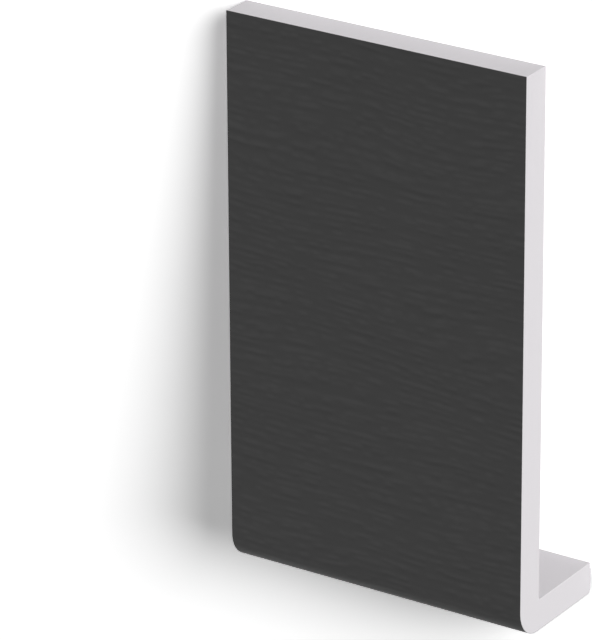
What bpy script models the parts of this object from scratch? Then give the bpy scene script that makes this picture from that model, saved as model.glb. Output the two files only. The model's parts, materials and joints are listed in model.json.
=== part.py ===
"""Cover fascia board: a cellular PVC board with a return leg, and a wood-grain foil on its show side.

A short length that lies by itself on a level floor, show face up. It rests on the back corner of
its top edge and on the upper corner of its leg's tip. Units are metres and +Z is up. The origin
is on the floor, under the middle of the bounding box.

A point of the section is a pair: how far it is behind the show face, then how far above the heel's
underside, as on a board that is fixed upright.
"""

import math

import bpy

# Overall sizes, measured over the foil
LENGTH = 0.100
FACE_HEIGHT = 0.175
BOARD_THICKNESS = 0.0105
LEG_DEPTH = 0.040
LEG_THICKNESS = 0.010

# Rounded corners of the section: the heel, the tip's lower corner, and the one behind the board
HEEL_RADIUS = 0.010
TIP_RADIUS = 0.0015
INNER_RADIUS = 0.0008

# The foil, and how far it runs up the flat of the leg's tip
FOIL_THICKNESS = 0.0002
FOIL_TURN_UP = 0.0065

# Facets in a quarter turn
HEEL_FACETS = 32
SMALL_FACETS = 8

# Colours in linear light, and finishes
FOIL_COLOUR = (0.047, 0.047, 0.047, 1.0)
FOIL_ROUGHNESS = 0.45
PVC_COLOUR = (0.74, 0.73, 0.74, 1.0)
PVC_ROUGHNESS = 0.5

QUARTER_TURN = math.pi / 2


def quarter_arc(centre, radius, start, facets, turn=QUARTER_TURN):
    """Points of a quarter circle about centre, from the angle start, with both its ends."""
    behind, above = centre
    angles = [start + turn * step / facets for step in range(facets + 1)]
    return [
        (behind + radius * math.cos(angle), above + radius * math.sin(angle))
        for angle in angles
    ]


def bonded_line():
    """Where the foil meets the board: down the face, round the heel, along the leg, up its tip."""
    lower_tip_centre = (LEG_DEPTH - TIP_RADIUS, TIP_RADIUS)
    top = (FOIL_THICKNESS, FACE_HEIGHT)
    heel = quarter_arc(
        (HEEL_RADIUS, HEEL_RADIUS), HEEL_RADIUS - FOIL_THICKNESS, 2 * QUARTER_TURN, HEEL_FACETS
    )
    lower_tip = quarter_arc(
        lower_tip_centre, TIP_RADIUS - FOIL_THICKNESS, 3 * QUARTER_TURN, SMALL_FACETS
    )
    foil_end = (LEG_DEPTH - FOIL_THICKNESS, TIP_RADIUS + FOIL_TURN_UP)
    return [top, *heel, *lower_tip, foil_end]


def tip_corner():
    """Sharp corner between the leg's tip and its upper side, which the floor touches."""
    return LEG_DEPTH - FOIL_THICKNESS, LEG_THICKNESS


def foil_corner():
    """Outer corner of the foil's end, on the flat of the leg's tip."""
    return LEG_DEPTH, TIP_RADIUS + FOIL_TURN_UP


def board_outline():
    """Closed outline of the extrusion, under the foil."""
    inner_corner = quarter_arc(
        (BOARD_THICKNESS + INNER_RADIUS, LEG_THICKNESS + INNER_RADIUS),
        INNER_RADIUS,
        3 * QUARTER_TURN,
        SMALL_FACETS,
        turn=-QUARTER_TURN,
    )
    top_back = (BOARD_THICKNESS, FACE_HEIGHT)
    return [*bonded_line(), tip_corner(), *inner_corner, top_back]


def resting_tilt():
    """Slope of the show face when the top edge's back corner and the leg's tip are on the floor."""
    return max(
        math.atan2(behind - BOARD_THICKNESS, FACE_HEIGHT - above)
        for behind, above in (tip_corner(), foil_corner())
    )


def resting_place(tilt):
    """Where the face's lower end goes, so that the box stands on the origin: along Y, and up."""
    face_top = (0.0, FACE_HEIGHT)
    sine, cosine = math.sin(tilt), math.cos(tilt)
    outline = [face_top, foil_corner(), *board_outline()]
    along = [above * cosine - behind * sine for behind, above in outline]
    lowest = min(-behind * cosine - above * sine for behind, above in outline)
    # The foil's outer side is the end of the box under the leg.
    leg_side = min(along) - FOIL_THICKNESS
    return -(leg_side + max(along)) / 2, -lowest


def finish(name, colour, roughness):
    material = bpy.data.materials.new(name)
    material.use_nodes = True
    shader = material.node_tree.nodes["Principled BSDF"]
    shader.inputs["Base Color"].default_value = colour
    shader.inputs["Roughness"].default_value = roughness
    shader.inputs["Metallic"].default_value = 0.0
    material.diffuse_color = colour
    return material


def extrusion(name, outline, closed, material):
    """A section outline, drawn to both sides of the middle of the board's length."""
    curve = bpy.data.curves.new(name, "CURVE")
    curve.dimensions = "2D"
    curve.fill_mode = "BOTH" if closed else "NONE"
    curve.extrude = LENGTH / 2
    spline = curve.splines.new("POLY")
    spline.points.add(len(outline) - 1)
    for point, (behind, above) in zip(spline.points, outline):
        point.co = (behind, above, 0.0, 1.0)
    spline.use_cyclic_u = closed
    curve.materials.append(material)
    piece = bpy.data.objects.new(name, curve)
    # The section's plane stands across X, with its second axis up.
    piece.rotation_euler = (QUARTER_TURN, 0.0, QUARTER_TURN)
    return piece


def make_board():
    """The white cellular PVC extrusion: board, heel and return leg in one piece."""
    material = finish("white_cellular_pvc", PVC_COLOUR, PVC_ROUGHNESS)
    return extrusion("pvc_board", board_outline(), True, material)


def make_foil():
    """The foil, which starts on the bonded line and takes its thickness outwards."""
    material = finish("woodgrain_foil", FOIL_COLOUR, FOIL_ROUGHNESS)
    foil = extrusion("woodgrain_foil", bonded_line(), False, material)
    film = foil.modifiers.new("film", "SOLIDIFY")
    film.thickness = FOIL_THICKNESS
    film.offset = -1.0
    film.use_even_offset = True
    return foil


def lay_down(pieces, collection):
    """Parents the upright pieces to an empty that lays them on the floor, show face up."""
    tilt = resting_tilt()
    along, up = resting_place(tilt)
    resting = bpy.data.objects.new("resting_board", None)
    resting.rotation_euler = (-QUARTER_TURN - tilt, 0.0, 0.0)
    resting.location = (0.0, along, up)
    collection.objects.link(resting)
    for piece in pieces:
        collection.objects.link(piece)
        piece.parent = resting


def main():
    for leftover in list(bpy.data.objects):
        bpy.data.objects.remove(leftover)
    collection = bpy.data.collections.new("cover_fascia_board")
    bpy.context.scene.collection.children.link(collection)
    lay_down([make_board(), make_foil()], collection)


main()
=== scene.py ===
"""Looks of a short cover fascia board: embossed wood-grain foil over white cellular PVC.

The pieces are modelled on the upright board, in metres: X along it, Y behind the show face, Z up
from the heel's underside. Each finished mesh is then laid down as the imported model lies.
"""

import json
import math
import random

import bmesh
import bpy
import numpy as np
from bpy.props import FloatProperty, FloatVectorProperty, IntProperty, PointerProperty
from mathutils import Matrix, Vector, noise


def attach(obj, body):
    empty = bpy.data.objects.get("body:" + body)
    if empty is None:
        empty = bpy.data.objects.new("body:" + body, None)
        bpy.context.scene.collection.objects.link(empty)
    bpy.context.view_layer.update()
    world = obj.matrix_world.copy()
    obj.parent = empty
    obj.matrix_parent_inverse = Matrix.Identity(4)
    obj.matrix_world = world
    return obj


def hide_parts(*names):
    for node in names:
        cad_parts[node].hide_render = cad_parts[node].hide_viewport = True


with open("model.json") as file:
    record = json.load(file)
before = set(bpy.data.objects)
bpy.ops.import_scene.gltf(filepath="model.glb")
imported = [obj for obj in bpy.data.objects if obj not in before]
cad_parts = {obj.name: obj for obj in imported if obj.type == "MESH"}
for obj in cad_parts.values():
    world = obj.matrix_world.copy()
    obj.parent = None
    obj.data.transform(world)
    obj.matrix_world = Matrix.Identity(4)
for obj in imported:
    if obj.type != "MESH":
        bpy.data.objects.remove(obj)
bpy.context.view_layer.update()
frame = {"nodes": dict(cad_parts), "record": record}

bl_info = {
    "name": "Cover fascia board",
    "version": (1, 0, 0),
    "blender": (4, 5, 0),
    "location": "3D View > Sidebar > Fascia board",
    "description": "Models a short length of foiled cellular PVC cover fascia board",
    "category": "Add Mesh",
}

BODY = "root"
MM = 0.001
# Points closer than this are one point.
NEAR = 0.001 * MM

# Mesh layers and attributes
FILM_MAP = "film"
GRAIN = "grain"
FOAM = "foam"
BONDED = "bonded"
AROUND = "around"
OUTWARD = "outward"

# Facets of a rounded corner, and the faces of the foil's outer side: across the grain and along it
HEEL_FACETS = 48
TIP_FACETS = 12
FILM_ROW = 0.3 * MM
FILM_COLUMN = 0.75 * MM

# Edges that turn further than this are shaded sharp.
BOARD_SHARP = math.radians(15)
FOIL_SHARP = math.radians(35)

# Bends of the grain lines: a slow flow, and a quick waver that strays by a share of it
FLOW_LENGTH = 50 * MM
FLOW_BREADTH = 30 * MM
WAVER_LENGTH = 6 * MM
WAVER_BREADTH = 4 * MM
WAVER_SHARE = 0.11

# How the strokes vary: a row's start by the board's length, its strokes' places by the pitch,
# their widths by the usual one, and the way on to the next by their own length
START_RANGE = (0.5, 0.7)
STRAY_RANGE = (-0.3, 0.3)
WIDTH_RANGE = (0.85, 1.15)
STEP_RANGE = (0.9, 1.2)

# Across a stroke: a wave of pore and lips, in radians for each half width, which ends at FADED
RIPPLE = 1.7
# These phases keep each stroke lighter on its side towards the top edge and darker on the far side.
# That is painted light and painted shade of the embossing, on top of the print's own pores and lips.
PHASE_RANGE = (0.2, 1.5)
FADED = 2.5

# Sizes of the patterns on the white PVC, on the upright board's axes
DIE_LINES = (120 * MM, 0.9 * MM, 0.9 * MM)
SAW_MARKS = (4 * MM, 30 * MM, 0.5 * MM)
SKIN_WAVES = 5 * MM
# Real cells are 0.1 to 0.2 mm. These are about twice that, so that they show.
FOAM_CELLS = 0.35 * MM

# Sizes of the patterns on the film's map: along the grain, across it, and through the film
PRINT_CLOUDS = (60 * MM, 40 * MM, 1.0)
FIBRES = (3 * MM, 0.4 * MM, 1.0)

# Strength of one pattern beside another: waves to die lines, saw marks to cells, clouds to grain
WAVES_SHARE = 1.5
SAW_SHARE = 0.3
CLOUDS_SHARE = 0.25

# A Mix node's colour sockets, which share their names with its other sockets
MIX_A = 6
MIX_B = 7
MIXED = 2

# Studio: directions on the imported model's axes, the lamps' widths, and lengths in metres
KEY_TOWARDS = (0.736, 0.505, 0.450)
KEY_WIDTH = math.radians(24)
FILL_TOWARDS = (-0.99, -0.10, 0.05)
FILL_WIDTH = math.radians(6)
FLOOR_HALF = 20.0
FARTHEST_SEEN = 100.0


def linear(hex_colour):
    """An sRGB hex colour as linear red, green and blue."""
    channels = [int(hex_colour[start:start + 2], 16) / 255 for start in (1, 3, 5)]
    return tuple(
        channel / 12.92 if channel <= 0.04045 else ((channel + 0.055) / 1.055) ** 2.4
        for channel in channels
    )


def resting_turn():
    """Turns the upright board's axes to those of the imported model, which its mounts give."""
    axes = {mount["name"]: Vector(mount["axis"]) for mount in frame["record"]["mounts"]}
    along, above = axes["cut_end_right"], axes["top_edge"]
    behind = -axes["show_face"]
    return Matrix((along, behind, above)).transposed()


def upright_box():
    """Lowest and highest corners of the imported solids, on the upright board's axes."""
    to_upright = resting_turn().transposed()
    points = [
        to_upright @ vertex.co for node in frame["nodes"].values() for vertex in node.data.vertices
    ]
    low = Vector(min(point[axis] for point in points) for axis in range(3))
    high = Vector(max(point[axis] for point in points) for axis in range(3))
    return low, high


LOW, HIGH = upright_box()
MID_LENGTH = (LOW.x + HIGH.x) / 2
LAY_DOWN = resting_turn().to_4x4() @ Matrix.Translation((MID_LENGTH, LOW.y, LOW.z))
TURN = LAY_DOWN.to_euler()


def distance(name, description, default):
    """A length that the user can change."""
    return FloatProperty(
        name=name, description=description, default=default, unit="LENGTH", precision=5
    )


def colour(name, description, default):
    """A colour that the user can change, from its sRGB hex."""
    return FloatVectorProperty(
        name=name, description=description, default=linear(default), subtype="COLOR"
    )


class BoardSizes(bpy.types.PropertyGroup):
    """Sizes of the section, over the foil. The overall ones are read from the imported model."""

    length: distance("Length", "Along the board", HIGH.x - LOW.x)
    face_height: distance("Face height", "Underside to top edge", HIGH.z - LOW.z)
    leg_depth: distance("Leg depth", "Show face to the leg's tip", HIGH.y - LOW.y)
    board_thickness: distance("Board thickness", "With the foil", 10.5 * MM)
    leg_thickness: distance("Leg thickness", "With the foil", 10 * MM)
    heel_radius: distance("Heel radius", "Outer corner of face and leg", 10 * MM)
    tip_radius: distance("Tip radius", "Lower corner of the leg's tip", 1.5 * MM)
    inner_radius: distance("Inner radius", "Corner between back and leg", 0.8 * MM)
    foil_thickness: distance("Foil thickness", "The laminated film", 0.2 * MM)
    foil_turn_up: distance("Foil turn-up", "Foil on the flat of the leg's tip", 6.5 * MM)
    skin_thickness: distance("Skin thickness", "Dense skin round the foam", 0.8 * MM)
    edge_ease: distance("Edge ease", "Bevel of sawn and extruded edges", 0.08 * MM)


class PvcLook(bpy.types.PropertyGroup):
    """Finish of the white cellular PVC."""

    skin: colour("Skin", "Extruded skin", "#E3E0E3")
    core: colour("Core", "Foamed core in a saw cut", "#E2DFE2")
    die_line_depth: distance("Die line depth", "Faint lines along the extrusion", 0.004 * MM)
    pore_depth: distance("Pore depth", "Cut cells of the foam", 0.03 * MM)


class GrainLook(bpy.types.PropertyGroup):
    """Print and embossing of the foil."""

    # Pore and lip are the print's own dark and light. The strokes also lay them out as painted shade
    # and painted light on the embossing's two sides.
    pore: colour("Pore", "Darkest of the print", "#383838")
    lip: colour("Lip", "Lightest of the print", "#4A4A4A")
    cut_edge: colour("Cut edge", "The film's base layer, where it is sawn", "#BEBCBE")
    cut_depth: distance("Cut depth", "Saw marks in the film's edge", 0.01 * MM)
    fibre_depth: distance("Fibre depth", "Fine fibres of the embossing", 0.003 * MM)
    pore_depth: distance("Pore depth", "Deepest embossing", 0.07 * MM)
    shaded_depth: distance("Shaded depth", "Depth added by the shader alone", 0.05 * MM)
    stroke_width: distance("Stroke width", "Half width of a stroke and its lips", 1.05 * MM)
    stroke_pitch: distance("Stroke pitch", "Between the rows of strokes", 2.0 * MM)
    shortest_stroke: distance("Shortest stroke", "Along the grain", 5.5 * MM)
    longest_stroke: distance("Longest stroke", "Along the grain", 36 * MM)
    bead: distance("Bead", "Between the swellings along a stroke", 2.6 * MM)
    flow: distance("Grain flow", "How far a grain line strays", 3.0 * MM)
    seed: IntProperty(name="Seed", description="Another seed, another grain", default=7)


class StageLook(bpy.types.PropertyGroup):
    """Camera, on the upright board's axes, and the studio's light."""

    azimuth: FloatProperty(
        name="Azimuth", description="Camera to the right of square on", default=math.radians(33.433),
        subtype="ANGLE",
    )
    elevation: FloatProperty(
        name="Elevation", description="Camera above square on", default=math.radians(23.340),
        subtype="ANGLE",
    )
    roll: FloatProperty(
        name="Roll", description="Camera's roll", default=math.radians(-0.349), subtype="ANGLE"
    )
    aim_along: distance("Aim along", "Aimed point, from mid length", -26.741 * MM)
    aim_above: distance("Aim above", "Aimed point, from the underside", 84.180 * MM)
    camera_distance: distance("Distance", "Camera to the aimed point", 1582.365 * MM)
    lens: FloatProperty(
        name="Lens", description="Focal length", default=307.179, unit="CAMERA", min=1
    )
    floor: colour("Floor", "Pale floor", "#F4F4F4")
    floor_seen: FloatProperty(
        name="Floor seen", description="How pale the camera sees the floor", default=1.9
    )
    sky: FloatProperty(name="Sky", description="Light from all round", default=0.20)
    key: FloatProperty(name="Key", description="Main lamp on a surface square to it", default=0.81)
    fill: FloatProperty(name="Fill", description="Low lamp for the far end", default=0.28)


def set_inputs(tree, node, inputs):
    """Gives each input, by name or number, a value or another node's output."""
    for key, value in inputs.items():
        if isinstance(value, bpy.types.NodeSocket):
            tree.links.new(value, node.inputs[key])
        else:
            node.inputs[key].default_value = value


def add_node(tree, kind, inputs=None, **settings):
    """Adds a shader node with its settings, and then its inputs."""
    node = tree.nodes.new(kind)
    for name, value in settings.items():
        setattr(node, name, value)
    set_inputs(tree, node, inputs or {})
    return node


def new_material(name):
    """A material, its node tree and its Principled shader."""
    material = bpy.data.materials.new(name)
    material.use_nodes = True
    return material, material.node_tree, material.node_tree.nodes["Principled BSDF"]


def is_long(edge):
    """Whether the edge runs along the board."""
    return abs(edge.verts[0].co.x - edge.verts[1].co.x) > NEAR


def is_end(face):
    """Whether the face is on a cut end of the board."""
    return abs(face.normal.x) > 0.5


def corner_edges(shape, behind, above):
    """The long edge that stands on this point of the section."""
    corner = Vector((behind, above))
    return [
        edge
        for edge in shape.edges
        if all((vert.co.yz - corner).length < NEAR for vert in edge.verts)
    ]


def round_corner(shape, corner, radius, facets):
    """Rounds the long edge at this corner of the section."""
    bmesh.ops.bevel(
        shape,
        geom=corner_edges(shape, *corner),
        offset=radius,
        offset_type="OFFSET",
        segments=facets,
        profile=0.5,
        affect="EDGES",
        clamp_overlap=True,
        material=-1,
    )


def finished_mesh(shape, name):
    """Ends the modelling. The ends' faces take the second material, that of a saw cut."""
    bmesh.ops.recalc_face_normals(shape, faces=shape.faces)
    for face in shape.faces:
        face.material_index = is_end(face)
    mesh = bpy.data.meshes.new(name)
    shape.to_mesh(mesh)
    shape.free()
    return mesh


def finished_piece(name, mesh, sharp_angle):
    """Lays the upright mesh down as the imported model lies, and shades it."""
    mesh.transform(LAY_DOWN)
    mesh.shade_smooth()
    mesh.set_sharp_from_angle(angle=sharp_angle)
    piece = bpy.data.objects.new(name, mesh)
    bpy.context.scene.collection.objects.link(piece)
    return piece


def board_prism(shape, size):
    """Board and leg with square corners. A face layer says which sides the foil covers."""
    bonded = shape.faces.layers.int.new(BONDED)
    foil, tip = size.foil_thickness, size.leg_depth - size.foil_thickness
    corners = (
        (foil, size.face_height),
        (foil, foil),
        (tip, foil),
        (tip, size.tip_radius + size.foil_turn_up),
        (tip, size.leg_thickness),
        (size.board_thickness, size.leg_thickness),
        (size.board_thickness, size.face_height),
    )
    verts = [shape.verts.new((-size.length / 2, *corner)) for corner in corners]
    pulled = bmesh.ops.extrude_face_region(shape, geom=[shape.faces.new(verts)])["geom"]
    moved = [part for part in pulled if isinstance(part, bmesh.types.BMVert)]
    bmesh.ops.translate(shape, verts=moved, vec=(size.length, 0.0, 0.0))
    bmesh.ops.recalc_face_normals(shape, faces=shape.faces)
    for ends in zip(verts[:3], verts[1:4]):
        for face in shape.edges.get(ends).link_faces:
            face[bonded] = not is_end(face)


def eased_edges(shape, size):
    """Edges that the saw and the die leave with a slight bevel, apart from those under the foil."""
    bonded = shape.faces.layers.int[BONDED]
    tip_corner = (size.leg_depth - size.foil_thickness, size.leg_thickness)
    found = corner_edges(shape, size.board_thickness, size.face_height)
    found += corner_edges(shape, *tip_corner)
    for edge in shape.edges:
        sides = [face for face in edge.link_faces if not is_end(face)]
        if len(sides) == 1 and not sides[0][bonded]:
            found.append(edge)
    return found


def board_mesh(size):
    """Board, heel and leg as one extrusion, with a skin round the foam of its cut ends."""
    shape = bmesh.new()
    foam = shape.verts.layers.float.new(FOAM)
    board_prism(shape, size)
    foil, tip = size.foil_thickness, size.leg_depth - size.foil_thickness
    round_corner(shape, (foil, foil), size.heel_radius - foil, HEEL_FACETS)
    round_corner(shape, (tip, foil), size.tip_radius - foil, TIP_FACETS)
    inner_corner = (size.board_thickness, size.leg_thickness)
    round_corner(shape, inner_corner, size.inner_radius, TIP_FACETS)
    for end in [face for face in shape.faces if is_end(face)]:
        bmesh.ops.inset_region(
            shape, faces=[end], thickness=size.skin_thickness, use_even_offset=True
        )
        for vert in end.verts:
            vert[foam] = 1.0
    bmesh.ops.bevel(
        shape,
        geom=eased_edges(shape, size),
        offset=size.edge_ease,
        offset_type="OFFSET",
        segments=2,
        profile=0.5,
        affect="EDGES",
        clamp_overlap=True,
        material=-1,
    )
    return finished_mesh(shape, "cellular_board")


def film_strip(shape, size):
    """The foil's outer side, pulled down the face, along under the leg and up its tip."""
    ends = (-size.length / 2, size.length / 2)
    edge = shape.edges.new([shape.verts.new((end, 0.0, size.face_height)) for end in ends])
    pulls = (
        (0.0, -size.face_height),
        (size.leg_depth, 0.0),
        (0.0, size.tip_radius + size.foil_turn_up),
    )
    for pull in pulls:
        pulled = bmesh.ops.extrude_edge_only(shape, edges=[edge])["geom"]
        edge = next(part for part in pulled if isinstance(part, bmesh.types.BMEdge))
        bmesh.ops.translate(shape, verts=edge.verts, vec=(0.0, *pull))
    round_corner(shape, (0.0, 0.0), size.heel_radius, HEEL_FACETS)
    round_corner(shape, (size.leg_depth, 0.0), size.tip_radius, TIP_FACETS)


def measure_round(shape, size):
    """Stores how far round the section each vertex is from the top edge, and which way is out."""
    around = shape.verts.layers.float.new(AROUND)
    outward = shape.verts.layers.float_vector.new(OUTWARD)
    shape.normal_update()
    for vert in shape.verts:
        vert[outward] = vert.normal
    run = 0.0
    near_side = corner_edges(shape, 0.0, size.face_height)[0].link_loops[0]
    while near_side:
        across = near_side.link_loop_next
        run += across.edge.calc_length()
        far_side = across.link_loop_next
        for vert in far_side.edge.verts:
            vert[around] = run
        near_side = None if far_side.edge.is_boundary else far_side.link_loop_radial_next


def film_mesh(size):
    """The foil, still smooth: a grid of small faces outside, and one strip for each row inside."""
    shape = bmesh.new()
    film_strip(shape, size)
    for face in list(shape.faces):
        across = [edge for edge in face.edges if not is_long(edge)]
        cuts = round(across[0].calc_length() / FILM_ROW) - 1
        if cuts > 0:
            bmesh.ops.subdivide_edges(shape, edges=across, cuts=cuts, use_grid_fill=True)
    measure_round(shape, size)
    added = bmesh.ops.solidify(shape, geom=shape.faces, thickness=size.foil_thickness)["geom"]
    inside = {vert for part in added if isinstance(part, bmesh.types.BMFace) for vert in part.verts}
    outward = shape.verts.layers.float_vector[OUTWARD]
    for vert in inside:
        vert[outward] = Vector()
    bmesh.ops.subdivide_edges(
        shape,
        edges=[edge for edge in shape.edges if is_long(edge) and inside.isdisjoint(edge.verts)],
        cuts=round(size.length / FILM_COLUMN) - 1,
        use_grid_fill=True,
        use_single_edge=False,
    )
    return finished_mesh(shape, "embossed_foil")


def vertex_values(mesh, name, width):
    """A vertex attribute of the mesh as an array."""
    values = np.empty(len(mesh.vertices) * width, np.float32)
    mesh.attributes[name].data.foreach_get("vector" if width == 3 else "value", values)
    return values.reshape(-1, width) if width > 1 else values


def vertex_places(mesh):
    """The vertices' places as an array."""
    places = np.empty(len(mesh.vertices) * 3, np.float32)
    mesh.vertices.foreach_get("co", places)
    return places.reshape(-1, 3)


def strokes(look, length, breadth):
    """Rows of grain strokes: the middle, length, width and phase of each, and strengths along it."""
    draw = random.Random(look.seed)
    spread = look.shortest_stroke, look.longest_stroke
    for row in range(round(breadth / look.stroke_pitch) + 1):
        along = -length * draw.uniform(*START_RANGE)
        while along < length / 2:
            reach = math.exp(draw.uniform(*(math.log(x) for x in spread)))
            beads = 2 + round(reach / look.bead)
            yield (
                along + reach / 2,
                (row + draw.uniform(*STRAY_RANGE)) * look.stroke_pitch,
                reach,
                look.stroke_width * draw.uniform(*WIDTH_RANGE),
                draw.uniform(*PHASE_RANGE),
                [draw.random() for _ in range(beads)],
            )
            along += reach * draw.uniform(*STEP_RANGE)


def grain_line(look, along, around):
    """Which grain line passes here: its distance from the top edge, bent a little."""
    stray = noise.noise((along / FLOW_LENGTH, around / FLOW_BREADTH, look.seed))
    waver = noise.noise((along / WAVER_LENGTH, around / WAVER_BREADTH, look.seed + 0.5))
    return around + look.flow * (stray + WAVER_SHARE * waver)


def grain_tone(look, length, breadth, along, around):
    """How light the grain is at each point, from -1 in a pore to 1 on the lip beside it. The lip
    lies mostly on the side towards the top edge, so this holds the print and painted shade of the
    embossing.
    """
    lines = np.array([grain_line(look, x, run) for x, run in zip(along, around)])
    tone = np.zeros(len(lines))
    for middle, run, reach, width, phase, beads in strokes(look, length, breadth):
        t = (along - middle) / (reach / 2)
        across = (lines - grain_line(look, middle, run)) / width
        near = (np.abs(t) < 1) & (np.abs(across) < FADED)
        ripple = np.exp(-across[near] ** 2) * np.cos(RIPPLE * across[near] + phase)
        strength = np.interp(t[near], np.linspace(-1, 1, len(beads)), beads)
        tone[near] += strength * (1 - t[near] ** 4) * ripple
    return np.tanh(tone)


def emboss(mesh, size, look):
    """Stores the grain's tone on the foil, and presses its dark pores into the outer side."""
    places = vertex_places(mesh)
    around = vertex_values(mesh, AROUND, 1)
    outward = vertex_values(mesh, OUTWARD, 3)
    tone = grain_tone(look, size.length, float(around.max()), places[:, 0], around)
    depth = look.pore_depth * (1 - tone) / 2
    places -= outward * depth[:, None]
    mesh.vertices.foreach_set("co", places.ravel())
    layer = mesh.attributes.new(GRAIN, "FLOAT", "POINT")
    layer.data.foreach_set("value", tone.astype(np.float32))


def map_film(mesh):
    """A UV map in metres: along the board, and round the section from the top edge."""
    corners = np.empty(len(mesh.loops), np.int32)
    mesh.loops.foreach_get("vertex_index", corners)
    flat = np.column_stack((vertex_places(mesh)[:, 0], vertex_values(mesh, AROUND, 1)))
    mesh.uv_layers.new(name=FILM_MAP).uv.foreach_set("vector", flat[corners].ravel())


def pvc_skin(look):
    """Cellular PVC, extruded: a dense satin skin with faint lines from the die."""
    material, tree, shader = new_material("extruded_pvc_skin")
    place = add_node(tree, "ShaderNodeTexCoord").outputs["Object"]
    along_die = add_node(
        tree,
        "ShaderNodeMapping",
        {"Vector": place, "Rotation": TURN, "Scale": DIE_LINES},
        vector_type="TEXTURE",
    )
    die_lines = add_node(
        tree, "ShaderNodeTexNoise", {"Vector": along_die.outputs[0], "Scale": 1.0, "Detail": 2.0}
    )
    waves = add_node(
        tree, "ShaderNodeTexNoise", {"Vector": place, "Scale": 1 / SKIN_WAVES, "Detail": 1.0}
    )
    relief = add_node(
        tree,
        "ShaderNodeMath",
        {0: waves.outputs[0], 1: WAVES_SHARE, 2: die_lines.outputs[0]},
        operation="MULTIPLY_ADD",
    )
    bump = add_node(
        tree, "ShaderNodeBump", {"Height": relief.outputs[0], "Distance": look.die_line_depth}
    )
    set_inputs(
        tree,
        shader,
        {
            "Base Color": (*look.skin, 1.0),
            "Roughness": 0.6,
            "IOR": 1.53,
            "Specular IOR Level": 0.1,
            "Normal": bump.outputs[0],
        },
    )
    return material


def saw_marks(tree):
    """Fine marks along the saw's way through the board, from 0 to 1."""
    place = add_node(tree, "ShaderNodeTexCoord").outputs["Object"]
    along_saw = add_node(
        tree,
        "ShaderNodeMapping",
        {"Vector": place, "Rotation": TURN, "Scale": SAW_MARKS},
        vector_type="TEXTURE",
    )
    marks = add_node(
        tree, "ShaderNodeTexNoise", {"Vector": along_saw.outputs[0], "Scale": 1.0, "Detail": 1.0}
    )
    return marks.outputs[0]


def pvc_cut(look):
    """The same foam, sawn: open cells in the core, which close up towards the skin."""
    material, tree, shader = new_material("sawn_pvc_foam")
    place = add_node(tree, "ShaderNodeTexCoord").outputs["Object"]
    cells = add_node(
        tree,
        "ShaderNodeTexNoise",
        {"Vector": place, "Scale": 1 / FOAM_CELLS, "Detail": 3.0, "Roughness": 0.6},
    )
    relief = add_node(
        tree,
        "ShaderNodeMath",
        {0: saw_marks(tree), 1: SAW_SHARE, 2: cells.outputs[0]},
        operation="MULTIPLY_ADD",
    )
    foam = add_node(tree, "ShaderNodeAttribute", attribute_name=FOAM)
    open_cells = add_node(
        tree,
        "ShaderNodeMath",
        {0: relief.outputs[0], 1: foam.outputs["Fac"]},
        operation="MULTIPLY",
    )
    bump = add_node(
        tree, "ShaderNodeBump", {"Height": open_cells.outputs[0], "Distance": look.pore_depth}
    )
    set_inputs(
        tree,
        shader,
        {
            "Base Color": (*look.core, 1.0),
            "Roughness": 0.7,
            "IOR": 1.53,
            "Specular IOR Level": 0.1,
            "Normal": bump.outputs[0],
        },
    )
    return material


def grain_foil(look):
    """PVC film with an acrylic top coat, printed anthracite and embossed with a wood grain."""
    material, tree, shader = new_material("embossed_anthracite_film")
    film = add_node(tree, "ShaderNodeUVMap", uv_map=FILM_MAP).outputs[0]
    along_print = add_node(
        tree,
        "ShaderNodeMapping",
        {"Vector": film, "Scale": PRINT_CLOUDS},
        vector_type="TEXTURE",
    )
    clouds = add_node(
        tree,
        "ShaderNodeTexNoise",
        {"Vector": along_print.outputs[0], "Scale": 1.0, "Detail": 4.0, "Roughness": 0.6},
    )
    along_fibres = add_node(
        tree,
        "ShaderNodeMapping",
        {"Vector": film, "Scale": FIBRES},
        vector_type="TEXTURE",
    )
    fibres = add_node(
        tree, "ShaderNodeTexNoise", {"Vector": along_fibres.outputs[0], "Scale": 1.0, "Detail": 2.0}
    )
    grain = add_node(tree, "ShaderNodeAttribute", attribute_name=GRAIN)
    lightness = add_node(
        tree, "ShaderNodeMapRange", {"Value": grain.outputs["Fac"], "From Min": -1.0}
    )
    # Print colour: the print's own clouds, pores and lips, plus painted shade on each stroke's side
    # away from the top edge and painted light on the side towards it.
    print_clouds_and_painted_shade = add_node(
        tree,
        "ShaderNodeMath",
        {0: clouds.outputs[0], 1: CLOUDS_SHARE, 2: lightness.outputs[0]},
        operation="MULTIPLY_ADD",
    )
    printed = add_node(
        tree,
        "ShaderNodeMix",
        {0: print_clouds_and_painted_shade.outputs[0], MIX_A: (*look.pore, 1.0), MIX_B: (*look.lip, 1.0)},
        data_type="RGBA",
    )
    fibre_relief = add_node(
        tree, "ShaderNodeBump", {"Height": fibres.outputs[0], "Distance": look.fibre_depth}
    )
    bump = add_node(
        tree,
        "ShaderNodeBump",
        {
            "Height": lightness.outputs[0],
            "Distance": look.shaded_depth,
            "Normal": fibre_relief.outputs[0],
        },
    )
    set_inputs(
        tree,
        shader,
        {
            "Base Color": printed.outputs[MIXED],
            "Roughness": 0.55,
            "IOR": 1.49,
            "Specular IOR Level": 0.09,
            "Normal": bump.outputs[0],
        },
    )
    return material


def film_cut(look):
    """The same film, sawn: its matt base layer, paler than the print, with the saw's marks."""
    material, tree, shader = new_material("sawn_film_edge")
    bump = add_node(tree, "ShaderNodeBump", {"Height": saw_marks(tree), "Distance": look.cut_depth})
    set_inputs(
        tree,
        shader,
        {
            "Base Color": (*look.cut_edge, 1.0),
            "Roughness": 0.6,
            "Specular IOR Level": 0.2,
            "Normal": bump.outputs[0],
        },
    )
    return material


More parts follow.
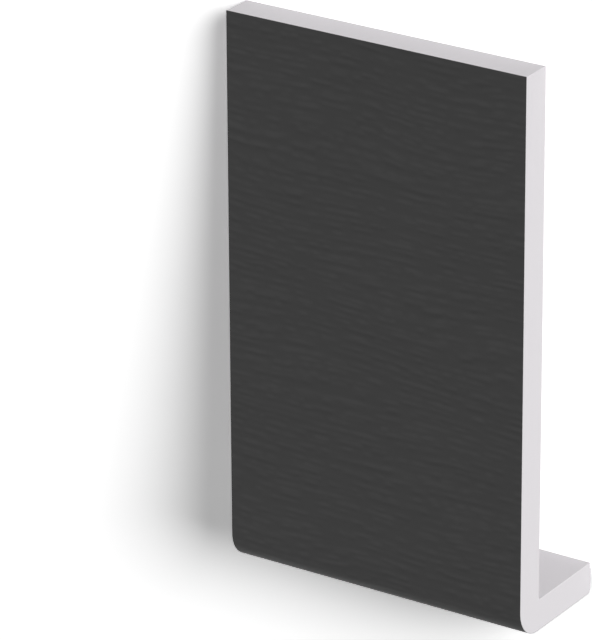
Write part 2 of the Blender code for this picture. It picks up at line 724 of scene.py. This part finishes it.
def seen_directly(tree):
    """1 where the camera, a gloss or a glass sees the surface, and 0 for the light it gives."""
    path = add_node(tree, "ShaderNodeLightPath").outputs
    camera_or_gloss = add_node(
        tree, "ShaderNodeMath", {0: path["Is Camera Ray"], 1: path["Is Glossy Ray"]}, operation="ADD"
    )
    seen = add_node(
        tree,
        "ShaderNodeMath",
        {0: camera_or_gloss.outputs[0], 1: path["Is Transmission Ray"]},
        operation="ADD",
        use_clamp=True,
    )
    return seen.outputs[0]


def floor_material(look):
    """Matt pale floor. Where it is seen it is as bright as the backdrop, and keeps the shadow."""
    material = bpy.data.materials.new("matt_pale_floor")
    material.use_nodes = True
    tree = material.node_tree
    tree.nodes.remove(tree.nodes["Principled BSDF"])
    tone = add_node(
        tree,
        "ShaderNodeMix",
        {
            0: seen_directly(tree),
            MIX_A: (*look.floor, 1.0),
            MIX_B: (look.floor_seen, look.floor_seen, look.floor_seen, 1.0),
        },
        data_type="RGBA",
    )
    matt = add_node(tree, "ShaderNodeBsdfDiffuse", {"Color": tone.outputs[MIXED]})
    set_inputs(tree, tree.nodes["Material Output"], {"Surface": matt.outputs[0]})
    return material


def studio_world(look):
    """White backdrop where it is seen, and an even soft light elsewhere."""
    world = bpy.data.worlds.new("studio")
    world.use_nodes = True
    tree = world.node_tree
    strength = add_node(
        tree,
        "ShaderNodeMapRange",
        {"Value": seen_directly(tree), "To Min": look.sky, "To Max": 1.0},
    )
    set_inputs(
        tree,
        tree.nodes["Background"],
        {"Color": (1.0, 1.0, 1.0, 1.0), "Strength": strength.outputs[0]},
    )
    return world


def add_lamp(name, towards, width, strength):
    """A far, wide lamp in this direction, which gives this much light to a surface square to it."""
    lamp = bpy.data.lights.new(name, "SUN")
    lamp.energy = strength * math.pi
    lamp.angle = width
    obj = bpy.data.objects.new(name, lamp)
    obj.rotation_mode = "QUATERNION"
    obj.rotation_quaternion = Vector(towards).to_track_quat("Z", "Y")
    bpy.context.scene.collection.objects.link(obj)


def camera_place(look):
    """The camera's place and turn, from the upright board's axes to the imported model's."""
    level = math.cos(look.elevation)
    forward = Vector(
        (
            -math.sin(look.azimuth) * level,
            math.cos(look.azimuth) * level,
            -math.sin(look.elevation),
        )
    )
    right = Vector((math.cos(look.azimuth), math.sin(look.azimuth), 0.0))
    up = right.cross(forward)
    turn = Matrix((right, up, -forward)).transposed() @ Matrix.Rotation(look.roll, 3, "Z")
    aim = Vector((look.aim_along, 0.0, look.aim_above))
    return Matrix.Translation(aim - forward * look.camera_distance) @ turn.to_4x4()


def add_camera(look):
    """The camera, which sees the lying board as the photograph sees the standing one."""
    data = bpy.data.cameras.new("camera")
    data.lens = look.lens
    data.sensor_width = 36.0
    data.clip_end = FARTHEST_SEEN
    camera = bpy.data.objects.new("camera", data)
    camera.matrix_world = LAY_DOWN @ camera_place(look)
    bpy.context.scene.collection.objects.link(camera)
    bpy.context.scene.camera = camera


def add_floor(look):
    """The level floor that the board lies on."""
    shape = bmesh.new()
    bmesh.ops.create_grid(shape, x_segments=1, y_segments=1, size=FLOOR_HALF)
    mesh = bpy.data.meshes.new("floor")
    shape.to_mesh(mesh)
    shape.free()
    mesh.materials.append(floor_material(look))
    floor = bpy.data.objects.new("floor", mesh)
    bpy.context.scene.collection.objects.link(floor)


class FASCIA_OT_board(bpy.types.Operator):
    """Adds the white cellular PVC extrusion"""

    bl_idname = "fascia.board"
    bl_label = "Add cellular board"

    def execute(self, context):
        scene = context.scene
        mesh = board_mesh(scene.fascia_sizes)
        mesh.materials.append(pvc_skin(scene.fascia_pvc))
        mesh.materials.append(pvc_cut(scene.fascia_pvc))
        piece = finished_piece("cellular_board", mesh, BOARD_SHARP)
        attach(piece, BODY)
        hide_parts("pvc_board")
        return {"FINISHED"}


class FASCIA_OT_foil(bpy.types.Operator):
    """Adds the embossed wood-grain foil"""

    bl_idname = "fascia.foil"
    bl_label = "Add wood-grain foil"

    def execute(self, context):
        scene = context.scene
        mesh = film_mesh(scene.fascia_sizes)
        emboss(mesh, scene.fascia_sizes, scene.fascia_grain)
        map_film(mesh)
        mesh.materials.append(grain_foil(scene.fascia_grain))
        mesh.materials.append(film_cut(scene.fascia_grain))
        piece = finished_piece("embossed_foil", mesh, FOIL_SHARP)
        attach(piece, BODY)
        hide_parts("woodgrain_foil")
        return {"FINISHED"}


class FASCIA_OT_stage(bpy.types.Operator):
    """Adds the floor, the lamps, the backdrop and the camera"""

    bl_idname = "fascia.stage"
    bl_label = "Add studio"

    def execute(self, context):
        look = context.scene.fascia_stage
        add_floor(look)
        context.scene.world = studio_world(look)
        add_lamp("key", KEY_TOWARDS, KEY_WIDTH, look.key)
        add_lamp("fill", FILL_TOWARDS, FILL_WIDTH, look.fill)
        add_camera(look)
        context.scene.view_settings.view_transform = "Standard"
        return {"FINISHED"}


class FASCIA_PT_panel(bpy.types.Panel):
    """The board's pieces, and the sizes and finishes that they take"""

    bl_idname = "FASCIA_PT_panel"
    bl_label = "Fascia board"
    bl_space_type = "VIEW_3D"
    bl_region_type = "UI"
    bl_category = "Fascia board"

    def draw(self, context):
        for operator in OPERATORS:
            self.layout.operator(operator.bl_idname)
        for name in GROUPS:
            box = self.layout.box()
            group = getattr(context.scene, name)
            for field in group.bl_rna.properties:
                if field.identifier not in ("rna_type", "name"):
                    box.prop(group, field.identifier)


OPERATORS = (FASCIA_OT_board, FASCIA_OT_foil, FASCIA_OT_stage)
GROUPS = {
    "fascia_sizes": BoardSizes,
    "fascia_pvc": PvcLook,
    "fascia_grain": GrainLook,
    "fascia_stage": StageLook,
}


def register():
    for cls in (*GROUPS.values(), *OPERATORS, FASCIA_PT_panel):
        bpy.utils.register_class(cls)
    for name, group in GROUPS.items():
        setattr(bpy.types.Scene, name, PointerProperty(type=group))


def unregister():
    for name in GROUPS:
        delattr(bpy.types.Scene, name)
    for cls in (FASCIA_PT_panel, *OPERATORS, *GROUPS.values()):
        bpy.utils.unregister_class(cls)


def main():
    register()
    bpy.ops.fascia.board()
    bpy.ops.fascia.foil()
    bpy.ops.fascia.stage()


if __name__ == "__main__":
    main()
